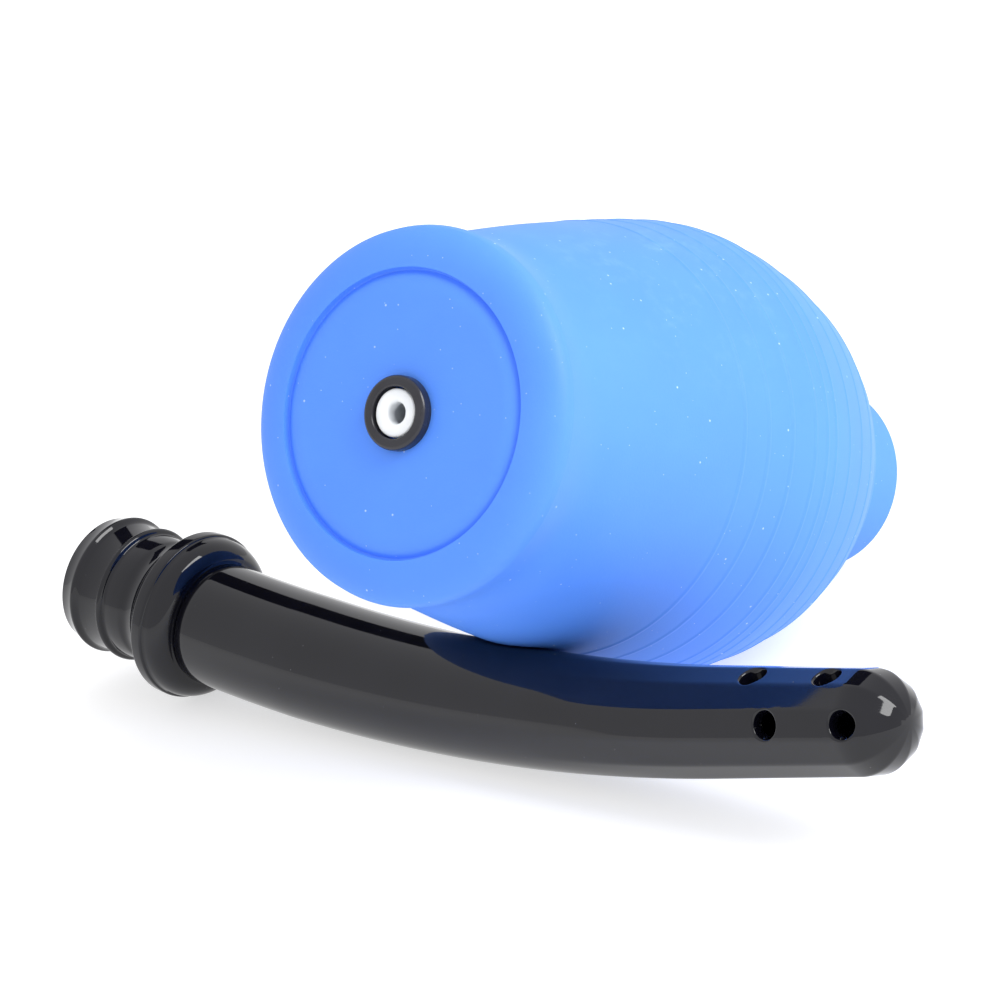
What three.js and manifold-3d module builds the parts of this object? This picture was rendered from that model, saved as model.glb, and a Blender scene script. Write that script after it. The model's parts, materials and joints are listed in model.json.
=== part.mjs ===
// A soft silicone rinse bulb lying on a table, with its stiff push-in nozzle pulled out and laid
// across under the raised base end. Millimetres, +Z up. X runs along the bulb, from base to neck.
// The origin is the middle of the whole object's box, on the table.
import * as THREE from 'three';
import * as BufferGeometryUtils from 'three/addons/utils/BufferGeometryUtils.js';
import Module from 'manifold-3d';

const wasm = await Module();
wasm.setup();

const DEGREE = Math.PI / 180;
const GAP = 0.3; // clearance kept between neighbouring pieces

// The bulb, measured along its axis from the base disc (0) to the mouth of the neck.
const BULB_LENGTH = 138.7;
const BULB_TILT = 25.9 * DEGREE; // the neck end points down by this much
const BULB_WALL = 3.2;
const BASE_WALL = 4.2;
const DISC_FLAT_RADIUS = 21.9; // the flat middle of the base
const CREASE_RADIUS = 25.7; // the groove round the raised base disc
const CREASE_DEPTH = 1.2;
const NECK_RADIUS = 17.9;
const NECK_BORE_RADIUS = 12.0;
const NECK_START = 121.0;
// [radius, distance along the axis] of the body, from the base shoulder to the front taper
const BELLY = [
  [34.4, 4.7], [33.6, 12.6], [35.6, 22], [38.4, 37], [41.2, 56], [42.9, 73], [41.0, 86],
  [37.2, 98], [32.2, 107], [28.6, 112.2],
];

// The one-way air inlet in the middle of the base.
const INLET_BUSH_RADIUS = 4.4;
const INLET_FACE = -1.7; // the bush's outer face, outside the base disc
const INLET_HOLE_RADIUS = 1.9;
const INLET_COUNTERSINK_RADIUS = 2.4;
const INLET_CHAMBER_RADIUS = 3.3;
const INLET_BALL_RADIUS = 2.8;
const INLET_BALL_CENTRE = 5.7; // resting against the cage; it travels 2.2 back to its seat
const RETAINING_RING_RADIUS = 6.8;
const RETAINING_RING_FACE = -2.4;

// The nozzle, measured along its centreline from the end of the plug (0) to the tip.
const STRAIGHT_LENGTH = 31.0;
const BEND_LENGTH = 130.9;
const BEND_ANGLE = 17.3 * DEGREE;
const TIP_STRAIGHT_LENGTH = 34.1;
const TUBE_RADIUS = 12.0;
const TIP_RADIUS = 9.8;
const TUBE_START = 31.3;
const TUBE_BORE_RADIUS = 9.3;
const TUBE_WALL = 2.2;
const TAPER_START = 57.5;
const FACET_COUNT = 12; // flats round the tip half, which fade out towards the plug
const FACETS_BEGIN = 114.0;
const FACETS_FULL = 161.0;
const OUTLET_HOLE_RADIUS = 2.6;
const OUTLET_ROWS = 4; // in every other flat, none on the belly of the bend
const OUTLET_STATIONS = [180.3, 197.8]; // the rows between are set back by the stagger
const OUTLET_STAGGER = 6.6;
const OUTLET_ROW_STEP = 60 * DEGREE;
const FIRST_ROW_ANGLE = -79 * DEGREE; // about the centreline, from the inside of the bend
const PLUG_RIDGE_RADIUS = 13.5;
const PLUG_WAIST_RADIUS = 11.6;
const PLUG_BORE_RADIUS = 8.5;
const SPIGOT_RADIUS = 9.0;
const SPIGOT_BORE_RADIUS = 6.5;
const SPIGOT_END = 39.0;
const FLANGE_RADIUS = 16.4;
const FLANGE_BACK = 23.5;
const FLANGE_FRONT = 26.2;

// The check valve in the plug's bore.
const OUTLET_BALL_RADIUS = 4.6;
const OUTLET_BALL_CENTRE = 7.95; // resting against the retainer; it travels 2.2 back to its seat
const OUTLET_SEAT_RADIUS = PLUG_BORE_RADIUS - GAP;
const BORE_SHOULDER = 16.4;

// How the nozzle lies, relative to the middle of the bulb's base disc.
const NOZZLE_PLUG_X = 33.4;
const NOZZLE_PLUG_Y = 108.1;
const NOZZLE_HEADING = -98.4 * DEGREE;
const NOZZLE_PITCH = 7.9 * DEGREE; // the plug runs down towards the tube, resting on its flange
const NOZZLE_ROLL = -7.65 * DEGREE; // the bend leans over by this much
const DENT_GAP = 0.95; // left round the tube where the soft bulb is pressed in by it

const BULB_SEGMENTS = 48;
const TUBE_SEGMENTS = 48;
const SMALL_SEGMENTS = 24;

const silicone = new THREE.MeshStandardMaterial({ color: 0x5f93f5, roughness: 0.6, metalness: 0 });
const blackGloss = new THREE.MeshStandardMaterial({ color: 0x0b0b10, roughness: 0.1, metalness: 0 });
const blackSatin = new THREE.MeshStandardMaterial({ color: 0x2c2c32, roughness: 0.4, metalness: 0 });
const whitePlastic = new THREE.MeshStandardMaterial({ color: 0xf4f4f2, roughness: 0.35, metalness: 0 });
const clearRubber = new THREE.MeshStandardMaterial({ color: 0xaab4c2, roughness: 0.5, metalness: 0 });

// Keeps only positions and merges the shared ones, and turns the faces outwards.
function closedMesh(geometry) {
  geometry.deleteAttribute('normal');
  geometry.deleteAttribute('uv');
  const merged = BufferGeometryUtils.mergeVertices(geometry, 1e-4);
  const position = merged.attributes.position;
  const kept = [];
  let volume = 0;
  const corner = [new THREE.Vector3(), new THREE.Vector3(), new THREE.Vector3()];
  for (let i = 0; i < merged.index.count; i += 3) {
    const triangle = [0, 1, 2].map((k) => merged.index.getX(i + k));
    if (new Set(triangle).size < 3) continue;
    triangle.forEach((vertex, k) => corner[k].fromBufferAttribute(position, vertex));
    volume += corner[0].dot(corner[1].clone().cross(corner[2]));
    kept.push(triangle);
  }
  const outward = volume > 0 ? kept : kept.map(([a, b, c]) => [a, c, b]);
  merged.setIndex(outward.flat());
  return merged;
}

// A solid turned about Z from [radius, z] points that close on themselves or end on the axis.
function turned(points, segments) {
  const profile = points.map(([radius, z]) => new THREE.Vector2(radius, z));
  return closedMesh(new THREE.LatheGeometry(profile, segments).rotateX(Math.PI / 2));
}

// The same for a profile that is a loop clear of the axis.
function turnedLoop(points, segments) {
  return turned([...points, points[0]], segments);
}

function toSolid(geometry) {
  const mesh = closedMesh(geometry);
  return new wasm.Manifold(new wasm.Mesh({
    numProp: 3,
    vertProperties: new Float32Array(mesh.attributes.position.array),
    triVerts: new Uint32Array(mesh.index.array),
  }));
}

function toGeometry(solid) {
  const mesh = solid.getMesh();
  const geometry = new THREE.BufferGeometry();
  geometry.setAttribute('position', new THREE.BufferAttribute(mesh.vertProperties, 3));
  geometry.setIndex(new THREE.BufferAttribute(mesh.triVerts, 1));
  return geometry;
}

// Points on a smooth curve through the given ones.
function curveThrough(points, count) {
  const curve = new THREE.SplineCurve(points.map(([x, y]) => new THREE.Vector2(x, y)));
  return curve.getPoints(count).map((point) => [point.x, point.y]);
}

// Points on a quarter of an ellipse, from one angle to another.
function arcPoints(centreX, centreY, radiusX, radiusY, from, to, count) {
  return Array.from({ length: count + 1 }, (_, i) => {
    const angle = (from + (to - from) * i / count) * DEGREE;
    return [centreX + radiusX * Math.cos(angle), centreY + radiusY * Math.sin(angle)];
  });
}

function bulbBody() {
  const base = [
    [INLET_BUSH_RADIUS + GAP, 0],
    [DISC_FLAT_RADIUS, 0],
    ...arcPoints(DISC_FLAT_RADIUS, CREASE_DEPTH, CREASE_RADIUS - DISC_FLAT_RADIUS, CREASE_DEPTH,
      -60, 0, 2),
    ...arcPoints(CREASE_RADIUS + 0.3, BELLY[0][1], BELLY[0][0] - CREASE_RADIUS - 0.3,
      BELLY[0][1] + 0.1, -90, -18, 4),
  ];
  const neckFillet = [[23.6, 116.2], [19.8, 119.2], [18.2, NECK_START]];
  const mouth = [
    [NECK_RADIUS, NECK_START + 2.5], [NECK_RADIUS, BULB_LENGTH - 0.7],
    [NECK_RADIUS - 0.7, BULB_LENGTH], [NECK_BORE_RADIUS + 0.8, BULB_LENGTH],
    [NECK_BORE_RADIUS, BULB_LENGTH - 0.8],
  ];
  const chamberRoof = [[NECK_BORE_RADIUS, NECK_START - 1], [18, 115.6], [24.6, 110.4]];
  const chamberWall = curveThrough(
    BELLY.slice(1, -1).map(([radius, z]) => [radius - BULB_WALL, z]).reverse(), 8);
  const chamberFloor = [[28.4, BASE_WALL + 1.2], [24, BASE_WALL], [INLET_BUSH_RADIUS + GAP, BASE_WALL]];
  return turnedLoop([
    ...base, ...curveThrough(BELLY, 26), ...neckFillet, ...mouth,
    ...chamberRoof, ...chamberWall, ...chamberFloor,
  ], BULB_SEGMENTS);
}

function valveRetainingRing() {
  const inner = INLET_BUSH_RADIUS + GAP;
  return turnedLoop([
    [inner, -GAP], [inner, RETAINING_RING_FACE + 0.2], [inner + 0.2, RETAINING_RING_FACE],
    [RETAINING_RING_RADIUS - 1.1, RETAINING_RING_FACE],
    ...arcPoints(RETAINING_RING_RADIUS - 0.9, RETAINING_RING_FACE + 1, 0.9, 0.95, -60, 0, 3),
    [RETAINING_RING_RADIUS, -GAP],
  ], SMALL_SEGMENTS);
}

function inletValveBush() {
  const seatTop = 2.4;
  const flangeBottom = BASE_WALL + 2 * GAP + 1.0;
  const flangeTop = flangeBottom + 1.2;
  const flangeRadius = 7.2;
  const innerEnd = 8.5;
  return turnedLoop([
    [INLET_HOLE_RADIUS, 1.0], [INLET_HOLE_RADIUS, INLET_FACE + 1.0],
    [INLET_COUNTERSINK_RADIUS, INLET_FACE], [INLET_BUSH_RADIUS - 0.2, INLET_FACE],
    [INLET_BUSH_RADIUS, INLET_FACE + 0.2], [INLET_BUSH_RADIUS, flangeBottom],
    [flangeRadius, flangeBottom], [flangeRadius, flangeTop], [INLET_BUSH_RADIUS, flangeTop],
    [INLET_BUSH_RADIUS, innerEnd], [INLET_CHAMBER_RADIUS, innerEnd], [INLET_CHAMBER_RADIUS, seatTop],
  ], SMALL_SEGMENTS);
}

function inletValveWasher() {
  const bottom = BASE_WALL + GAP;
  return turnedLoop([
    [INLET_BUSH_RADIUS + GAP, bottom], [7.4, bottom], [7.4, bottom + 1.0],
    [INLET_BUSH_RADIUS + GAP, bottom + 1.0],
  ], SMALL_SEGMENTS);
}

// A round plate from z = bottom to top, with a ring of round holes through it.
function slottedDisc(radius, bottom, top, holeRadius, holeCircle, holeCount) {
  const shape = new THREE.Shape().absarc(0, 0, radius, 0, 2 * Math.PI, false);
  for (let i = 0; i < holeCount; i += 1) {
    const angle = 2 * Math.PI * i / holeCount;
    const hole = new THREE.Path();
    const x = holeCircle * Math.cos(angle);
    const y = holeCircle * Math.sin(angle);
    hole.absarc(x, y, holeRadius, 0, 2 * Math.PI, true);
    shape.holes.push(hole);
  }
  const plate = new THREE.ExtrudeGeometry(shape, {
    depth: top - bottom, bevelEnabled: false, curveSegments: 9,
  });
  return plate.translate(0, 0, bottom);
}

function inletBallCage() {
  const skirtInner = INLET_BUSH_RADIUS + GAP;
  const discBottom = INLET_BALL_CENTRE + INLET_BALL_RADIUS + GAP;
  const skirt = turnedLoop([
    [skirtInner, 7.3], [5.8, 7.3], [5.8, discBottom + 0.6], [skirtInner, discBottom + 0.6],
  ], SMALL_SEGMENTS);
  const disc = slottedDisc(5.6, discBottom, discBottom + 1.2, 0.9, 2.6, 6);
  return toGeometry(toSolid(skirt).add(toSolid(disc)));
}

function ball(radius, centre) {
  const half = arcPoints(0, centre, radius, radius, -90, 90, 8);
  half[0][0] = 0;
  half[half.length - 1][0] = 0;
  return turned(half, 16);
}

function outletValveSeat() {
  const face = 0.8;
  const holeRadius = 3.0;
  const chamberRadius = 5.6;
  const cone = face + 1.0;
  const end = OUTLET_BALL_CENTRE;
  return turnedLoop([
    [holeRadius, cone], [holeRadius, face], [OUTLET_SEAT_RADIUS, face], [OUTLET_SEAT_RADIUS, end],
    [chamberRadius, end], [chamberRadius, cone + chamberRadius - holeRadius],
  ], SMALL_SEGMENTS);
}

function outletBallRetainer() {
  const bottom = OUTLET_BALL_CENTRE + OUTLET_BALL_RADIUS + GAP;
  return closedMesh(slottedDisc(OUTLET_SEAT_RADIUS, bottom, BORE_SHOULDER - GAP, 1.6, 4.9, 6));
}

function nozzlePlug() {
  const firstRidge = [
    [PLUG_WAIST_RADIUS, 0], [12.7, 0.7], [PLUG_RIDGE_RADIUS, 3.7], [12.7, 4.9], [12.4, 9.4],
  ];
  const secondRidge = [[PLUG_RIDGE_RADIUS - 0.1, 10.5], [12.3, 11.6], [12.0, 15.4]];
  const flare = curveThrough(
    [[PLUG_WAIST_RADIUS, 17.2], [12.2, 19.4], [14.1, 21.8], [FLANGE_RADIUS - 0.5, FLANGE_BACK]], 6);
  const dome = arcPoints(TUBE_RADIUS + 0.1, FLANGE_FRONT, FLANGE_RADIUS - TUBE_RADIUS - 0.4,
    TUBE_START - FLANGE_FRONT - GAP, 0, 90, 5);
  return turnedLoop([
    ...firstRidge, ...secondRidge, ...flare,
    [FLANGE_RADIUS, FLANGE_BACK + 0.7], [FLANGE_RADIUS, FLANGE_FRONT - 0.7], ...dome,
    [SPIGOT_RADIUS, TUBE_START - GAP], [SPIGOT_RADIUS, SPIGOT_END],
    [SPIGOT_BORE_RADIUS, SPIGOT_END], [SPIGOT_BORE_RADIUS, BORE_SHOULDER],
    [PLUG_BORE_RADIUS, BORE_SHOULDER], [PLUG_BORE_RADIUS, 0],
  ], TUBE_SEGMENTS);
}

// Outer radius of the tube, which tapers evenly from the straight part to the tip.
function tubeRadius(station) {
  const end = STRAIGHT_LENGTH + BEND_LENGTH + TIP_STRAIGHT_LENGTH;
  const share = THREE.MathUtils.clamp((station - TAPER_START) / (end - TAPER_START), 0, 1);
  return TUBE_RADIUS + (TIP_RADIUS - TUBE_RADIUS) * share;
}

// Pulls a round section onto flats, where the facets are, and moves it onto the centreline.
function shapeTube(geometry, outside) {
  const position = geometry.attributes.position;
  const flat = 2 * Math.PI / FACET_COUNT;
  for (let i = 0; i < position.count; i += 1) {
    let x = position.getX(i);
    let y = position.getY(i);
    const station = position.getZ(i);
    if (outside) {
      const share = THREE.MathUtils.smoothstep(station, FACETS_BEGIN, FACETS_FULL);
      const angle = Math.atan2(y, x) - FIRST_ROW_ANGLE;
      const fromMiddle = angle - flat * Math.round(angle / flat);
      const onFlat = Math.cos(flat / 2) / Math.cos(fromMiddle);
      x *= 1 + (onFlat - 1) * share;
      y *= 1 + (onFlat - 1) * share;
    }
    const place = onCentreline(station, x, y);
    position.setXYZ(i, place.x, place.y, place.z);
  }
  return geometry;
}

// The point at a station of the centreline, out by side (local Y) and up (towards the bend's inside).
function onCentreline(station, up, side) {
  const bendRadius = BEND_LENGTH / BEND_ANGLE;
  const along = THREE.MathUtils.clamp(station - STRAIGHT_LENGTH, 0, BEND_LENGTH);
  const angle = along / bendRadius;
  const before = Math.min(station, STRAIGHT_LENGTH);
  const after = Math.max(station - STRAIGHT_LENGTH - BEND_LENGTH, 0);
  const x = before + (bendRadius - up) * Math.sin(angle) + after * Math.cos(angle);
  const z = bendRadius - (bendRadius - up) * Math.cos(angle) + after * Math.sin(angle);
  return new THREE.Vector3(x, side, z);
}

function nozzleTube() {
  const tipCentre = STRAIGHT_LENGTH + BEND_LENGTH + TIP_STRAIGHT_LENGTH;
  const stations = Array.from({ length: 15 }, (_, i) => TUBE_START + (tipCentre - TUBE_START) * i / 14);
  const innerEnd = tipCentre - 1;
  const boreStations = [TUBE_START, 45.5, ...stations.slice(3, -1), innerEnd].reverse();
  const boreRadius = (station) => Math.min(TUBE_BORE_RADIUS, tubeRadius(station) - TUBE_WALL);
  const dome = arcPoints(0, tipCentre, TIP_RADIUS, TIP_RADIUS, 0, 90, 6).slice(1);
  dome[dome.length - 1][0] = 0;
  const boreDome = arcPoints(0, innerEnd, boreRadius(innerEnd), boreRadius(innerEnd), 90, 0, 4);
  boreDome[0][0] = 0;
  const outer = turned([
    [0, TUBE_START], ...stations.map((station) => [tubeRadius(station), station]), ...dome,
  ], TUBE_SEGMENTS);
  const bore = turned([
    ...boreDome.slice(0, -1), ...boreStations.map((station) => [boreRadius(station), station]),
    [TUBE_BORE_RADIUS, TUBE_START - 1], [0, TUBE_START - 1],
  ], TUBE_SEGMENTS / 2);
  let tube = toSolid(shapeTube(outer, true)).subtract(toSolid(shapeTube(bore, false)));
  for (let row = 0; row < OUTLET_ROWS; row += 1) {
    const angle = FIRST_ROW_ANGLE + OUTLET_ROW_STEP * row;
    const setBack = OUTLET_STAGGER * (row % 2);
    for (const station of OUTLET_STATIONS) {
      tube = tube.subtract(outletHole(station - setBack, angle));
    }
  }
  return toGeometry(tube);
}

// A round cutter across the tube's wall, on one side.
function outletHole(station, angle) {
  const from = onCentreline(station, 0, 0);
  const to = onCentreline(station, Math.cos(angle), Math.sin(angle));
  const cutter = new THREE.CylinderGeometry(OUTLET_HOLE_RADIUS, OUTLET_HOLE_RADIUS, TIP_RADIUS, 20);
  const direction = to.clone().sub(from).normalize();
  cutter.applyQuaternion(new THREE.Quaternion().setFromUnitVectors(new THREE.Vector3(0, 1, 0), direction));
  const centre = from.clone().addScaledVector(direction, TIP_RADIUS);
  return toSolid(cutter.translate(centre.x, centre.y, centre.z));
}

// The centreline's nearest point to a point that lies along the bend, and its station.
function nearestOnBend(point) {
  const bendRadius = BEND_LENGTH / BEND_ANGLE;
  const angle = Math.atan2(point.x - STRAIGHT_LENGTH, bendRadius - point.z);
  const station = STRAIGHT_LENGTH + bendRadius * angle;
  return { centre: onCentreline(station, 0, 0), station };
}

// Presses the soft bulb in where it leans on the nozzle's tube.
function pressIn(bulbMesh, nozzleGroup) {
  const toNozzle = nozzleGroup.matrixWorld.clone().invert().multiply(bulbMesh.matrixWorld);
  const back = toNozzle.clone().invert();
  const position = bulbMesh.geometry.attributes.position;
  const point = new THREE.Vector3();
  for (let i = 0; i < position.count; i += 1) {
    point.fromBufferAttribute(position, i).applyMatrix4(toNozzle);
    const { centre, station } = nearestOnBend(point);
    const reach = tubeRadius(station) + DENT_GAP;
    const distance = point.distanceTo(centre);
    if (distance < reach) {
      point.sub(centre).multiplyScalar(reach / distance).add(centre).applyMatrix4(back);
      position.setXYZ(i, point.x, point.y, point.z);
    }
  }
}

function named(name, geometry, material) {
  const mesh = new THREE.Mesh(geometry, material);
  mesh.name = name;
  return mesh;
}

// Turned pieces of the nozzle are made about Z and laid along the nozzle's own X.
function alongNozzle(geometry) {
  return geometry.rotateY(Math.PI / 2);
}

// Moves a group straight down, or up, so that its lowest point touches the table.
function restOnTable(group) {
  group.updateMatrixWorld(true);
  const lowest = new THREE.Box3().setFromObject(group, true).min.z;
  group.position.z -= lowest;
}

const bulb = new THREE.Group();
bulb.rotation.y = Math.PI / 2 + BULB_TILT;
bulb.add(
  named('bulb_body', bulbBody(), silicone),
  named('valve_retaining_ring', valveRetainingRing(), blackSatin),
  named('inlet_valve_bush', inletValveBush(), whitePlastic),
  named('inlet_valve_washer', inletValveWasher(), clearRubber),
  named('inlet_check_ball', ball(INLET_BALL_RADIUS, INLET_BALL_CENTRE), clearRubber),
  named('inlet_ball_cage', inletBallCage(), whitePlastic),
);
restOnTable(bulb);

const nozzle = new THREE.Group();
nozzle.rotation.set(NOZZLE_ROLL, NOZZLE_PITCH, NOZZLE_HEADING, 'ZYX');
nozzle.position.set(NOZZLE_PLUG_X, NOZZLE_PLUG_Y, 0);
nozzle.add(
  named('nozzle_plug', alongNozzle(nozzlePlug()), blackGloss),
  named('nozzle_tube', nozzleTube(), blackGloss),
  named('outlet_valve_seat', alongNozzle(outletValveSeat()), whitePlastic),
  named('outlet_check_ball', alongNozzle(ball(OUTLET_BALL_RADIUS, OUTLET_BALL_CENTRE)), clearRubber),
  named('outlet_ball_retainer', alongNozzle(outletBallRetainer()), whitePlastic),
);
restOnTable(nozzle);

const rinseBulb = new THREE.Group();
rinseBulb.add(bulb, nozzle);
rinseBulb.updateMatrixWorld(true);
pressIn(bulb.getObjectByName('bulb_body'), nozzle);
const extent = new THREE.Box3().setFromObject(rinseBulb, true);
rinseBulb.position.x = -(extent.min.x + extent.max.x) / 2;
rinseBulb.position.y = -(extent.min.y + extent.max.y) / 2;

export default rinseBulb;
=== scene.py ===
import json
import math

import bpy
import numpy as np
from mathutils import Matrix, Vector


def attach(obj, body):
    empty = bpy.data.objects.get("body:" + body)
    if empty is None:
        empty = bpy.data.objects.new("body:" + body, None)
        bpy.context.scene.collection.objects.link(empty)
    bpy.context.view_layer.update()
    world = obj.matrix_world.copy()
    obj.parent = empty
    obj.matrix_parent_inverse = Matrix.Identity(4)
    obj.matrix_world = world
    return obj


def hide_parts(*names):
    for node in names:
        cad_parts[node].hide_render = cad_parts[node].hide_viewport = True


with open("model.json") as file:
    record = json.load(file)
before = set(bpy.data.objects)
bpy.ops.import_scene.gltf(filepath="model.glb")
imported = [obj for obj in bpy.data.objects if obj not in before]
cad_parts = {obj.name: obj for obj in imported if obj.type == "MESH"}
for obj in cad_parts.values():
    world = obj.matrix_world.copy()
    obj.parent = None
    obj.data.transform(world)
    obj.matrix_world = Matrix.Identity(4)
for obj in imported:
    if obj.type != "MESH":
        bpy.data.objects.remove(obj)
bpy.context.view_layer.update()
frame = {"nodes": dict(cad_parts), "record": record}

MM = 0.001
MOUNTS = {mount["name"]: mount for mount in frame["record"]["mounts"]}

# The bulb, in millimetres along its axis from the base disc (0) to the mouth (BULB_LENGTH).
BULB_LENGTH = 138.7
BULB_SEGMENTS = 192
INLET_HOLE = 4.7
CREASE = (25.7, 1.2)
NECK_RADIUS, NECK_BORE = 17.9, 12.0
BELLY = [(34.4, 4.7), (33.6, 12.6), (35.6, 22), (38.4, 37), (41.2, 56), (42.9, 73), (41.0, 86),
         (37.2, 98), (32.2, 107), (29.0, 111.8)]
# Thin raised rings round the front half, evenly moulded but for one close pair.
RINGS = [50.2, 56.8, 63.4, 70.1, 74.0, 77.3, 83.7, 90.4, 97.2, 104.2]
RING_HEIGHT, RING_HALF_WIDTH = 0.17, 0.62
LIP_STATION, LIP_HEIGHT, LIP_HALF_WIDTH = 111.5, 0.4, 1.2

# The nozzle, in millimetres along its centreline from the end of its plug (0) to its tip.
STRAIGHT, BEND, BEND_ANGLE, TIP_STRAIGHT = 31.0, 130.9, math.radians(17.3), 34.1
TIP_CENTRE = STRAIGHT + BEND + TIP_STRAIGHT
TUBE_RADIUS, TIP_RADIUS = 12.0, 9.8
TUBE_START, TAPER_START = 31.05, 57.5
NOZZLE_TURN = (math.radians(-98.4), math.radians(7.9), math.radians(-7.65))
FACETS = 12
FACETS_BEGIN, FACETS_FULL = 114.0, 161.0
FACET_ROUNDING = math.radians(2.6)
FIRST_ROW, ROW_STEP = math.radians(-79), math.radians(60)
PRESSED_GAP = 0.2  # left round the tube where the soft bulb is pressed in by it
HOLE_RADIUS, HOLE_CHAMFER = 2.6, 0.35
HOLE_STATIONS, HOLE_STAGGER, HOLE_ROWS = (180.3, 197.8), 6.6, 4
TUBE_SEGMENTS = 192

# The studio: the light from all round, the key light's watts and the floor's own glow.
STUDIO_LIGHT, KEY_POWER, FLOOR_GLOW = 1.04, 17, 0.6


# ---- places ----------------------------------------------------------------------------------

BULB_AXIS = Vector(MOUNTS["neck_socket"]["axis"]).normalized()
BULB_SIDE = Vector((0, 1, 0))
BULB_UP = BULB_AXIS.cross(BULB_SIDE).normalized()
BULB_UP = BULB_UP if BULB_UP.z > 0 else -BULB_UP
BULB_BASE = Vector(MOUNTS["neck_socket"]["pos_m"]) - BULB_AXIS * BULB_LENGTH * MM

NOZZLE_END = Vector(MOUNTS["nozzle_plug_fit"]["pos_m"])
NOZZLE_FRAME = (Matrix.Rotation(NOZZLE_TURN[0], 3, "Z") @ Matrix.Rotation(NOZZLE_TURN[1], 3, "Y")
                @ Matrix.Rotation(NOZZLE_TURN[2], 3, "X"))


def on_bulb(radius, station, angle):
    """The point of the bulb at that radius and station; angle 0 is its top."""
    out = BULB_UP * math.cos(angle) + BULB_SIDE * math.sin(angle)
    return BULB_BASE + (BULB_AXIS * station + out * radius) * MM


def on_nozzle(radius, station, angle):
    """The point of the nozzle at that radius and station; angle 0 is the inside of its bend."""
    up, side = radius * math.cos(angle), radius * math.sin(angle)
    bend_radius = BEND / BEND_ANGLE
    turned = min(max(station - STRAIGHT, 0), BEND) / bend_radius
    after = max(station - STRAIGHT - BEND, 0)
    x = min(station, STRAIGHT) + (bend_radius - up) * math.sin(turned) + after * math.cos(turned)
    z = bend_radius - (bend_radius - up) * math.cos(turned) + after * math.sin(turned)
    return NOZZLE_END + NOZZLE_FRAME @ Vector((x, side, z)) * MM


# ---- meshes ----------------------------------------------------------------------------------

def new_object(name, vertices, faces, sharp_angle=40):
    mesh = bpy.data.meshes.new(name)
    mesh.from_pydata([tuple(v) for v in vertices], [], faces)
    mesh.validate()
    mesh.polygons.foreach_set("use_smooth", [True] * len(mesh.polygons))
    mesh.set_sharp_from_angle(angle=math.radians(sharp_angle))
    obj = bpy.data.objects.new(name, mesh)
    bpy.context.collection.objects.link(obj)
    return obj


def strip(first, second):
    """Faces between two rings of vertex numbers. A ring of one number is a pole."""
    count = max(len(first), len(second))
    faces = []
    for k in range(count):
        corners = [first[k % len(first)], first[(k + 1) % len(first)],
                   second[(k + 1) % len(second)], second[k % len(second)]]
        faces.append(tuple(dict.fromkeys(corners)))
    return faces


def turned(name, profile, place, segments, sharp_angle=40):
    """A solid of revolution from (radius, station) points, put in place by place()."""
    vertices, rings = [], []
    for radius, station in profile:
        count = 1 if radius == 0 else segments
        rings.append(list(range(len(vertices), len(vertices) + count)))
        vertices += [place(radius, station, 2 * math.pi * k / segments) for k in range(count)]
    faces = []
    for first, second in zip(rings, rings[1:] + rings[:1]):
        faces += strip(first, second)
    return new_object(name, vertices, outward(vertices, faces), sharp_angle)


def outward(vertices, faces):
    """The faces, all flipped if they enclose a negative volume."""
    volume = 0
    for face in faces:
        a = vertices[face[0]]
        for b, c in zip(face[1:], face[2:]):
            volume += a.dot(vertices[b].cross(vertices[c]))
    return faces if volume > 0 else [face[::-1] for face in faces]


def spline(points, step):
    """Points along a smooth curve through the (radius, station) points, about step apart."""
    known = np.array(points, float)
    padded = np.vstack([2 * known[0] - known[1], known, 2 * known[-1] - known[-2]])
    out = []
    for a, b, c, d in zip(padded, padded[1:], padded[2:], padded[3:]):
        count = max(2, int(np.linalg.norm(c - b) / step))
        for k in range(count):
            u = k / count
            out.append(0.5 * (2 * b + (c - a) * u + (2 * a - 5 * b + 4 * c - d) * u ** 2
                              + (3 * b - a - 3 * c + d) * u ** 3))
    return [tuple(map(float, p)) for p in out] + [tuple(known[-1])]


def arc(centre, radii, start, end, count):
    """Points on an ellipse about centre, both as (radius, station), angles in degrees."""
    angles = np.radians(np.linspace(start, end, count + 1))
    return [(centre[0] + radii[0] * math.cos(a), centre[1] + radii[1] * math.sin(a))
            for a in angles]


def ridge(station, middle, half_width):
    """How much of a smooth ridge's height there is at a station, from 0 to 1."""
    off = abs(station - middle) / half_width
    return math.cos(off * math.pi / 2) ** 2 if off < 1 else 0


def ringed(profile):
    """The profile with its thin moulded rings and the lip at its end raised."""
    out = []
    for radius, station in profile:
        raised = sum(ridge(station, middle, RING_HALF_WIDTH) for middle in RINGS) * RING_HEIGHT
        raised += ridge(station, LIP_STATION, LIP_HALF_WIDTH) * LIP_HEIGHT
        out.append((radius + raised, station))
    return out


def on_soft_bulb(radius, station, angle):
    """As on_bulb, but pushed clear of the tube where the bulb leans on it."""
    point = on_bulb(radius, station, angle)
    local = NOZZLE_FRAME.transposed() @ (point - NOZZLE_END) / MM
    bend_radius = BEND / BEND_ANGLE
    along = STRAIGHT + bend_radius * math.atan2(local.x - STRAIGHT, bend_radius - local.z)
    centre = on_nozzle(0, along, 0)
    reach = (tube_radius(along, 0) + PRESSED_GAP) * MM
    away = point - centre
    return point if away.length > reach else centre + away * (reach / away.length)


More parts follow.
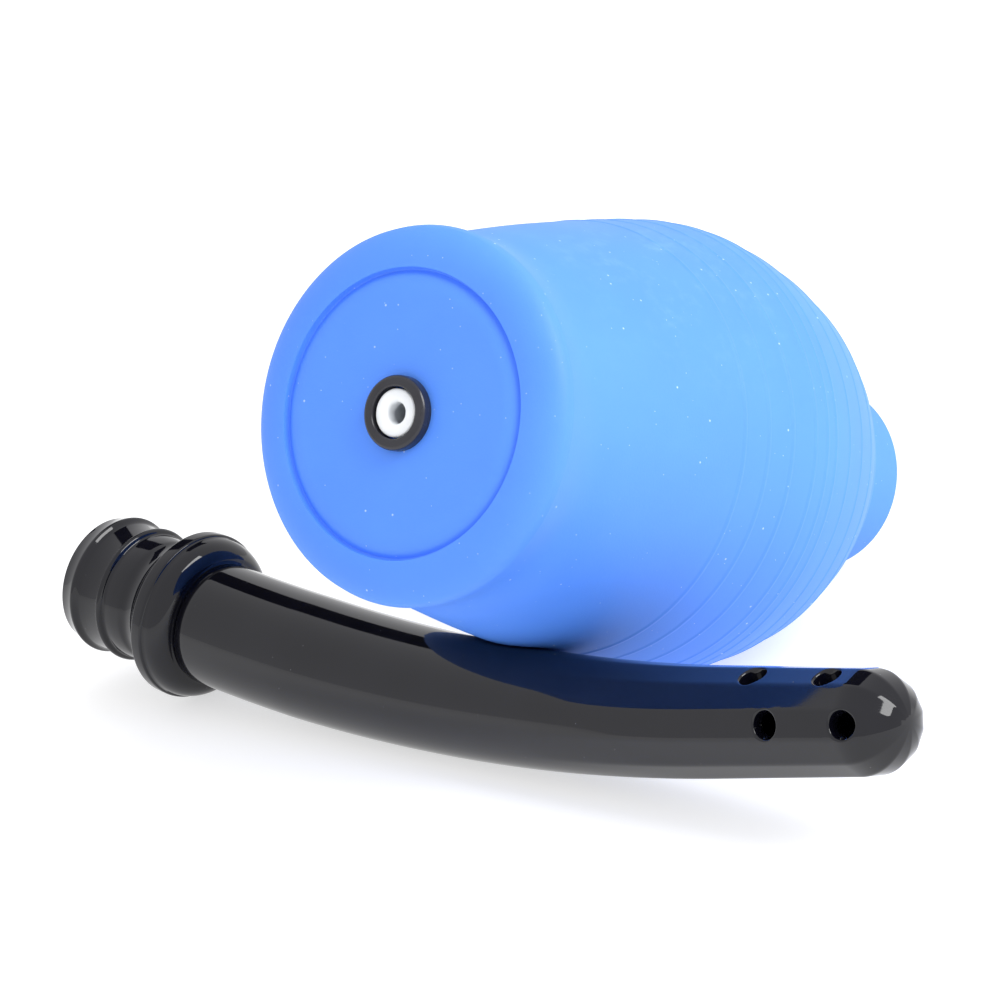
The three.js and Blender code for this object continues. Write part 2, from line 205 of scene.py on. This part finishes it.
def bulb_shell():
    base = [(INLET_HOLE, 1.0), (INLET_HOLE, 0.15), (INLET_HOLE + 0.15, 0)]
    base += [(r, 0) for r in (7.5, 11, 15, 19, 21.6)]
    base += arc((22.0, 1.5), (CREASE[0] - 22.0, 1.5), -88, -22, 14)
    base += spline([(25.6, 1.05), (25.8, 1.2), (26.05, 1.15), (26.25, 0.75)], 0.1)
    base += arc((CREASE[0] + 0.9, BELLY[0][1]), (BELLY[0][0] - CREASE[0] - 0.9, 4.7), -92, -18, 22)
    belly = ringed(spline(BELLY, 0.19))
    shoulder = spline([(29.0, 111.8), (26.4, 114.6), (22.6, 117.2), (19.4, 119.6), (18.1, 122.2),
                       (NECK_RADIUS, 125)], 0.4)[1:]
    mouth = arc((NECK_RADIUS - 1.2, BULB_LENGTH - 1.2), (1.2, 1.2), 0, 90, 6)
    mouth += arc((NECK_BORE + 0.9, BULB_LENGTH - 0.9), (0.9, 0.9), 90, 180, 5)
    bore = [(NECK_BORE, 130), (NECK_BORE, 121), (13.4, 118.4), (18, 115.6), (24.6, 110.4)]
    inside = [(r - 3.2, t) for r, t in spline(BELLY[1:-1], 4)][::-1]
    floor = [(28.4, 5.4), (24, 4.2), (INLET_HOLE, 4.2)]
    return turned("bulb_shell", base + belly + shoulder + mouth + bore + inside + floor,
                  on_soft_bulb, BULB_SEGMENTS, sharp_angle=50)


def valve_ring():
    inner, outer, face = 4.75, 6.8, -2.35
    profile = [(inner, -0.05), (inner, face + 0.35)]
    profile += arc((inner + 0.35, face + 0.35), (0.35, 0.35), 180, 270, 5)
    profile += [(5.5, face), (5.8, face + 0.01)]
    profile += arc((outer - 0.85, face + 0.85), (0.85, 0.85), -90, 0, 12)
    profile += [(outer + 0.02, -0.9), (outer, -0.05)]
    return turned("valve_ring_face", profile, on_bulb, 128)


def valve_bush():
    outer, face, hole = 4.4, -1.7, 1.95
    profile = [(hole, 0.9), (hole, face + 0.9)]
    profile += arc((2.75, face + 0.9), (0.8, 0.9), 180, 270, 8)
    profile += arc((outer - 0.4, face + 0.4), (0.4, 0.4), -90, 0, 6)
    profile += [(outer, 5.8), (7.2, 5.8), (7.2, 7.0), (outer, 7.0), (outer, 8.5), (3.3, 8.5),
                (3.3, 2.4)]
    return turned("valve_bush", profile, on_bulb, 96)


def plug_shell():
    profile = [(8.5, 0.25), (8.8, 0), (11.5, 0)] + arc((12.1, 0.5), (0.5, 0.5), -80, 0, 5)
    profile += [(12.9, 1.7), (13.35, 3.1)] + arc((13.3, 3.75), (0.3, 0.5), -30, 60, 5)
    profile += [(13.15, 4.5), (12.85, 4.9), (12.7, 5.3), (12.6, 7.2), (12.45, 9.3)]
    profile += spline([(12.5, 9.6), (12.95, 10.0), (13.3, 10.6), (13.1, 11.2), (12.5, 11.6)], 0.15)
    profile += spline([(12.35, 11.9), (12.25, 13.6), (12.0, 15.4), (11.7, 16.3), (11.6, 17.3),
                       (11.95, 18.9), (12.8, 20.6), (14.2, 22.2), (15.7, 23.3)], 0.3)
    profile += arc((15.85, 24.0), (0.5, 0.6), -70, 0, 5) + arc((15.85, 25.7), (0.5, 0.6), 0, 75, 5)
    profile += arc((12.1, 26.3), (3.75, 4.4), 4, 88, 16)
    profile += [(11.9, 30.9), (9.0, 30.9), (9.0, 38.9), (6.5, 38.9), (6.5, 16.4), (8.5, 16.4)]
    return turned("plug_shell", profile, on_nozzle, 160)


# ---- the faceted tube, with its outlet holes built into the mesh --------------------------------

def tube_radius(station, angle):
    """The tube's outer radius, tapered, rounded at the tip and drawn onto its flats."""
    share = min(max((station - TAPER_START) / (TIP_CENTRE - TAPER_START), 0), 1)
    radius = TUBE_RADIUS + (TIP_RADIUS - TUBE_RADIUS) * share
    if station > TIP_CENTRE:
        radius = math.sqrt(max(radius ** 2 - (station - TIP_CENTRE) ** 2, 0))
    share = min(max((station - FACETS_BEGIN) / (FACETS_FULL - FACETS_BEGIN), 0), 1)
    share = share * share * (3 - 2 * share)
    return radius * (1 + (flat_ratio(angle) - 1) * share)


def flat_ratio(angle):
    """The radius of a polygon with slightly rounded corners, over that of its corners."""
    pitch = 2 * math.pi / FACETS
    off = abs((angle - FIRST_ROW + pitch / 2) % pitch - pitch / 2)
    start = pitch / 2 - FACET_ROUNDING
    if off <= start:
        return math.cos(pitch / 2) / math.cos(off)
    slope = math.cos(pitch / 2) * math.tan(start) / math.cos(start)
    past = off - start
    return (math.cos(pitch / 2) / math.cos(start)
            + slope * (past - past ** 2 / (2 * FACET_ROUNDING)))


def tube_point(station, angle, sunk=0):
    return on_nozzle(tube_radius(station, angle) - sunk, station, angle)


def tube_stations():
    coarse = list(np.arange(TUBE_START + 0.4, 160, 2.2))
    fine = list(np.arange(160, TIP_CENTRE + 0.01, 0.6))
    dome = [TIP_CENTRE + TIP_RADIUS * math.sin(a) for a in np.radians(np.arange(3, 90, 3))]
    return coarse + fine + dome


def hole_places():
    """(station, angle) of each outlet hole."""
    return [(station - HOLE_STAGGER * (row % 2), FIRST_ROW + ROW_STEP * row)
            for row in range(HOLE_ROWS) for station in HOLE_STATIONS]


class Tube:
    """The tube's mesh: a grid of stations by angles, with a block taken out for each hole."""

    def __init__(self):
        self.vertices, self.faces = [], []
        self.stations = tube_stations()
        self.step = 2 * math.pi / TUBE_SEGMENTS
        self.grid = [[self.add(tube_point(s, FIRST_ROW + k * self.step))
                      for k in range(TUBE_SEGMENTS)] for s in self.stations]
        self.cut = set()
        for place in hole_places():
            self.hole(*place)
        self.skin()
        self.end()
        self.tip()

    def add(self, point):
        self.vertices.append(point)
        return len(self.vertices) - 1

    def skin(self):
        for row in range(len(self.stations) - 1):
            for k in range(TUBE_SEGMENTS):
                if (row, k) not in self.cut:
                    nxt = (k + 1) % TUBE_SEGMENTS
                    self.faces.append((self.grid[row][k], self.grid[row][nxt],
                                       self.grid[row + 1][nxt], self.grid[row + 1][k]))

    def end(self):
        """The butt end by the plug: a rounded edge, the end face and a stretch of the bore."""
        ring = self.grid[0]
        for radius, station in ((11.92, 31.2), (11.75, 31.05), (9.35, 31.05), (9.3, 31.2), (9.3, 60)):
            inner = [self.add(on_nozzle(radius, station, FIRST_ROW + k * self.step))
                     for k in range(TUBE_SEGMENTS)]
            self.faces += strip(inner, ring)
            ring = inner

    def tip(self):
        pole = self.add(on_nozzle(0, TIP_CENTRE + TIP_RADIUS, 0))
        self.faces += strip(self.grid[-1], [pole])

    def hole(self, station, angle):
        """Takes a block out of the grid and fills it with rings that narrow to a round hole."""
        reach = HOLE_RADIUS + HOLE_CHAMFER + 0.7
        rows = [i for i, s in enumerate(self.stations) if abs(s - station) < reach]
        low, high = rows[0] - 1, rows[-1] + 1
        middle = round((angle - FIRST_ROW) / self.step)
        wide = math.ceil(math.asin(min(reach / tube_radius(station, angle), 0.9)) / self.step)
        columns = range(middle - wide, middle + wide)
        self.cut |= {(row, k % TUBE_SEGMENTS) for row in range(low, high) for k in columns}
        edge = [(low, k) for k in range(middle - wide, middle + wide)]
        edge += [(row, middle + wide) for row in range(low, high)]
        edge += [(high, k) for k in range(middle + wide, middle - wide, -1)]
        edge += [(row, middle - wide) for row in range(high, low, -1)]
        outer = [self.grid[row][k % TUBE_SEGMENTS] for row, k in edge]
        across = [(self.stations[row] - station,
                   tube_radius(self.stations[row], FIRST_ROW + k * self.step)
                   * math.sin((k - middle) * self.step)) for row, k in edge]
        self.fill(outer, across, station, angle)

    def fill(self, ring, across, station, angle):
        """Rings from the block's edge in to the hole's mouth, then down its wall."""
        mouth = HOLE_RADIUS + HOLE_CHAMFER
        walls = [(mouth, 0), (HOLE_RADIUS + 0.17, 0.08), (HOLE_RADIUS + 0.04, 0.22),
                 (HOLE_RADIUS, 0.4), (HOLE_RADIUS, 2.3)]
        for share in (0.3, 0.6, 0.82, 0.94):
            ring = self.inset(ring, across, station, angle, mouth, share, 0)
        for radius, sunk in walls:
            ring = self.inset(ring, across, station, angle, radius, 1, sunk)

    def inset(self, ring, across, station, angle, radius, share, sunk):
        inner = []
        for along, side in across:
            length = math.hypot(along, side)
            s = station + along * (1 - share) + along / length * radius * share
            y = side * (1 - share) + side / length * radius * share
            out = tube_radius(s, angle)
            turn = angle + math.asin(max(-0.95, min(0.95, y / max(out, 0.1))))
            inner.append(self.add(tube_point(s, turn, sunk)))
        self.faces += strip(ring, inner)
        return inner


def nozzle_shell():
    tube = Tube()
    return new_object("nozzle_shell", tube.vertices, tube.faces, sharp_angle=35)


# ---- materials -------------------------------------------------------------------------------

class Shader:
    """A material's node tree, built one node at a time."""

    def __init__(self, name, **settings):
        self.material = bpy.data.materials.new(name)
        self.material.use_nodes = True
        self.tree = self.material.node_tree
        self.surface = self.tree.nodes["Principled BSDF"]
        for key, value in settings.items():
            self.surface.inputs[key.replace("_", " ")].default_value = value
        self.place = self.tree.nodes.new("ShaderNodeTexCoord").outputs["Object"]

    def node(self, kind, inputs=(), **settings):
        node = self.tree.nodes.new("ShaderNode" + kind)
        for key, value in settings.items():
            setattr(node, key, value)
        for key, value in dict(inputs).items():
            if isinstance(value, bpy.types.NodeSocket):
                self.tree.links.new(value, node.inputs[key])
            else:
                node.inputs[key].default_value = value
        return node

    def noise(self, scale, detail=2.0, roughness=0.5):
        node = self.node("TexNoise", {"Vector": self.place, "Scale": scale,
                                      "Detail": detail, "Roughness": roughness})
        return node.outputs["Fac"]

    def spread(self, value, low, high, start=0.0, end=1.0):
        """value from low..high, mapped to start..end and clamped."""
        node = self.node("MapRange", {"Value": value, "From Min": low, "From Max": high,
                                      "To Min": start, "To Max": end})
        return node.outputs["Result"]

    def maths(self, operation, a, b=0.0):
        node = self.node("Math", {0: a, 1: b}, operation=operation)
        return node.outputs[0]

    def mix(self, share, a, b):
        node = self.node("Mix", {"Factor": share}, data_type="RGBA")
        for key, value in ((6, a), (7, b)):
            if isinstance(value, bpy.types.NodeSocket):
                self.tree.links.new(value, node.inputs[key])
            else:
                node.inputs[key].default_value = (*value, 1)
        return node.outputs[2]

    def bump(self, height, distance, strength=1.0, under=None):
        inputs = {"Height": height, "Distance": distance, "Strength": strength}
        if under is not None:
            inputs["Normal"] = under
        return self.node("Bump", inputs).outputs["Normal"]

    def specks(self, scale, share, size):
        """1 in a few small round specks, 0 elsewhere. share is how many cells have one."""
        cells = self.node("TexVoronoi", {"Vector": self.place, "Scale": scale})
        kept = self.node("SeparateColor", {"Color": cells.outputs["Color"]}).outputs[0]
        near = self.spread(cells.outputs["Distance"], size, size * 0.6)
        return self.maths("MULTIPLY", near, self.maths("LESS_THAN", kept, share))

    def set(self, **links):
        for key, value in links.items():
            self.tree.links.new(value, self.surface.inputs[key.replace("_", " ")])
        return self.material


def silicone():
    s = Shader("blue_silicone", IOR=1.41, Subsurface_Weight=0.12, Subsurface_Scale=0.004)
    s.surface.inputs["Subsurface Radius"].default_value = (0.25, 0.5, 1.0)
    cloud = s.noise(34, 4, 0.55)
    fine = s.noise(420, 3, 0.6)
    colour = s.mix(s.spread(cloud, 0.3, 0.7), (0.078, 0.250, 0.89), (0.088, 0.272, 0.93))
    # The upper belly lightened: painted sheen, partly a talc scuff.
    talc_and_sheen = s.maths("MULTIPLY", talc_and_sheen_patch(s), s.spread(fine, 0.42, 0.7))
    colour = s.mix(s.maths("MULTIPLY", talc_and_sheen, 0.30), colour, (0.34, 0.55, 0.95))
    dust = s.maths("MAXIMUM", s.specks(620, 0.045, 0.16), s.specks(1500, 0.02, 0.2))
    colour = s.mix(s.maths("MULTIPLY", dust, 0.55), colour, (0.62, 0.76, 0.98))
    rough = s.maths("ADD", s.spread(cloud, 0.25, 0.75, 0.5, 0.6), s.maths("MULTIPLY", talc_and_sheen, 0.15))
    skin = s.bump(s.noise(2600, 3, 0.6), 0.00003, 0.8)
    skin = s.bump(s.noise(55, 2, 0.5), 0.0004, 0.35, skin)
    skin = s.bump(dust, 0.00008, 0.5, skin)
    return s.set(Base_Color=colour, Roughness=rough, Normal=skin)


def talc_and_sheen_patch(s):
    """A soft lighter patch on the bulb's upper side, 1 in its middle: painted sheen, partly talc
    rubbed on.
    """
    middle = on_bulb(40.0, 46, math.radians(-28))
    off = s.node("VectorMath", {0: s.place, 1: tuple(middle)}, operation="DISTANCE")
    near = s.spread(off.outputs["Value"], 0.036, 0.006)
    return s.maths("MULTIPLY", near, s.spread(s.noise(75, 5, 0.7), 0.45, 0.66))


def black_plastic():
    s = Shader("polished_black_plastic", IOR=1.47)
    smear = s.noise(60, 3, 0.55)
    colour = s.mix(s.spread(smear, 0.35, 0.65), (0.0015, 0.0015, 0.004), (0.003, 0.003, 0.006))
    dust = s.specks(900, 0.03, 0.13)
    colour = s.mix(s.maths("MULTIPLY", dust, 0.35), colour, (0.2, 0.2, 0.22))
    rough = s.maths("ADD", s.spread(smear, 0.3, 0.7, 0.045, 0.085), s.maths("MULTIPLY", dust, 0.3))
    skin = s.bump(s.noise(48, 2, 0.4), 0.0002, 0.12)
    skin = s.bump(s.noise(3000, 2, 0.5), 0.000004, 0.4, skin)
    return s.set(Base_Color=colour, Roughness=rough, Normal=skin)


def satin_black():
    s = Shader("satin_black_plastic", IOR=1.5)
    grain = s.noise(2400, 3, 0.6)
    smear = s.noise(160, 2, 0.5)
    colour = s.mix(s.spread(smear, 0.3, 0.7), (0.012, 0.012, 0.017), (0.019, 0.019, 0.025))
    rough = s.spread(smear, 0.3, 0.7, 0.20, 0.30)
    return s.set(Base_Color=colour, Roughness=rough, Normal=s.bump(grain, 0.00001, 0.6))


def white_plastic():
    s = Shader("white_valve_plastic", IOR=1.5, Subsurface_Weight=0.35, Subsurface_Scale=0.002)
    s.surface.inputs["Subsurface Radius"].default_value = (1.0, 0.95, 0.9)
    cloud = s.noise(240, 3, 0.5)
    colour = s.mix(s.spread(cloud, 0.3, 0.7), (0.80, 0.83, 0.86), (0.86, 0.88, 0.89))
    rough = s.spread(cloud, 0.3, 0.7, 0.32, 0.42)
    return s.set(Base_Color=colour, Roughness=rough, Normal=s.bump(s.noise(1800), 0.00001, 0.5))


def tinted_plastic(name, dark, light, roughness):
    s = Shader(name, IOR=1.5)
    cloud = s.noise(300, 3, 0.5)
    colour = s.mix(s.spread(cloud, 0.3, 0.7), dark, light)
    rough = s.spread(cloud, 0.3, 0.7, roughness, roughness + 0.1)
    return s.set(Base_Color=colour, Roughness=rough, Normal=s.bump(s.noise(2000), 0.00001, 0.5))


def floor_paper():
    s = Shader("pale_floor", IOR=1.4)
    cloud = s.noise(3, 3, 0.5)
    colour = s.mix(s.spread(cloud, 0.3, 0.7), (0.52, 0.52, 0.52), (0.56, 0.56, 0.56))
    s.surface.inputs["Specular IOR Level"].default_value = 0.2
    s.surface.inputs["Emission Color"].default_value = (1, 1, 1, 1)
    s.surface.inputs["Emission Strength"].default_value = FLOOR_GLOW
    return s.set(Base_Color=colour, Roughness=s.spread(cloud, 0.3, 0.7, 0.6, 0.7),
                 Normal=s.bump(s.noise(900), 0.00002, 0.3))


def paint(obj, material):
    obj.data.materials.clear()
    obj.data.materials.append(material)


# ---- the object ------------------------------------------------------------------------------

def dress(obj, material, body, slot, *nodes):
    """Gives a new piece its material and its body, and hides the CAD nodes it stands for."""
    paint(obj, material)
    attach(obj, body)
    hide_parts(*nodes)


WHITE = white_plastic()
BLACK = black_plastic()
dress(bulb_shell(), silicone(), "bulb", "silicone", "bulb_body")
dress(valve_ring(), satin_black(), "bulb", "ring", "valve_retaining_ring")
dress(valve_bush(), WHITE, "bulb", "valve_plastic", "inlet_valve_bush")
dress(plug_shell(), BLACK, "nozzle", "nozzle", "nozzle_plug")
dress(nozzle_shell(), BLACK, "nozzle", "nozzle", "nozzle_tube")

BALLS = tinted_plastic("grey_blue_ball", (0.46, 0.52, 0.62), (0.52, 0.58, 0.67), 0.3)
DARK_RUBBER = tinted_plastic("dark_washer_rubber", (0.012, 0.012, 0.013), (0.02, 0.02, 0.021), 0.6)
for node_name, node_material in {
    "inlet_check_ball": BALLS, "outlet_check_ball": BALLS, "inlet_ball_cage": WHITE,
    "outlet_valve_seat": WHITE, "outlet_ball_retainer": WHITE, "inlet_valve_washer": DARK_RUBBER,
}.items():
    paint(frame["nodes"][node_name], node_material)


# ---- the studio ------------------------------------------------------------------------------

def make_floor():
    half = 4.0
    corners = [Vector((x, y, -0.0002)) for x, y in ((-half, -half), (half, -half), (half, half),
                                                   (-half, half))]
    floor = new_object("floor", corners, [(0, 1, 2, 3)])
    paint(floor, floor_paper())


def softbox(name, place, aim, size, power):
    light = bpy.data.lights.new(name, "AREA")
    light.shape = "RECTANGLE"
    light.size, light.size_y = size
    light.energy = power
    obj = bpy.data.objects.new(name, light)
    bpy.context.collection.objects.link(obj)
    obj.visible_camera = False
    obj.location = place
    obj.rotation_euler = (Vector(aim) - Vector(place)).to_track_quat("-Z", "Y").to_euler()
    return obj


def dark_card(place, half_size):
    """A black card over the right, seen only as a dark stripe in polished surfaces."""
    across = Vector((place[2], 0, -place[0])).normalized() * half_size[0]
    along = Vector((0, 1, 0)) * half_size[1]
    corners = [Vector(place) + across * i + along * j
               for i, j in ((-1, -1), (1, -1), (1, 1), (-1, 1))]
    card = new_object("dark_card", corners, [(0, 1, 2, 3)])
    shader = Shader("black_card", Roughness=0.9)
    cloud = shader.spread(shader.noise(20, 3, 0.5), 0.3, 0.7)
    paint(card, shader.set(Base_Color=shader.mix(cloud, (0.004, 0.004, 0.005), (0.008, 0.008, 0.01))))
    card.visible_camera = card.visible_diffuse = card.visible_shadow = False


def surroundings(strength, colour):
    world = bpy.data.worlds.new("studio")
    world.use_nodes = True
    world.node_tree.nodes["Background"].inputs["Color"].default_value = (*colour, 1)
    world.node_tree.nodes["Background"].inputs["Strength"].default_value = strength
    bpy.context.scene.world = world


def make_camera():
    """A long lens, well back and above, turned a little about its own axis."""
    data = bpy.data.cameras.new("camera")
    data.lens, data.sensor_width = 216, 36
    data.clip_start, data.clip_end = 0.05, 20
    camera = bpy.data.objects.new("camera", data)
    bpy.context.collection.objects.link(camera)
    heading, elevation, roll = (math.radians(a) for a in (-51.155, 19.974, -9.234))
    turn = (Matrix.Rotation(heading, 3, "Z") @ Matrix.Rotation(math.pi / 2 - elevation, 3, "X")
            @ Matrix.Rotation(roll, 3, "Z"))
    place = BULB_BASE + Vector((-0.77717, -0.64511, 0.34787))
    camera.matrix_world = Matrix.Translation(place) @ turn.to_4x4()
    bpy.context.scene.camera = camera


make_floor()
make_camera()
surroundings(STUDIO_LIGHT, (0.98, 0.98, 1.0))
softbox("key", (0.15, -1.0, 0.95), (0, 0, 0.05), (0.8, 0.8), KEY_POWER)
dark_card((0.69, 0.885, 0.99), (0.27, 0.6))
bpy.context.scene.view_settings.view_transform = "Standard"
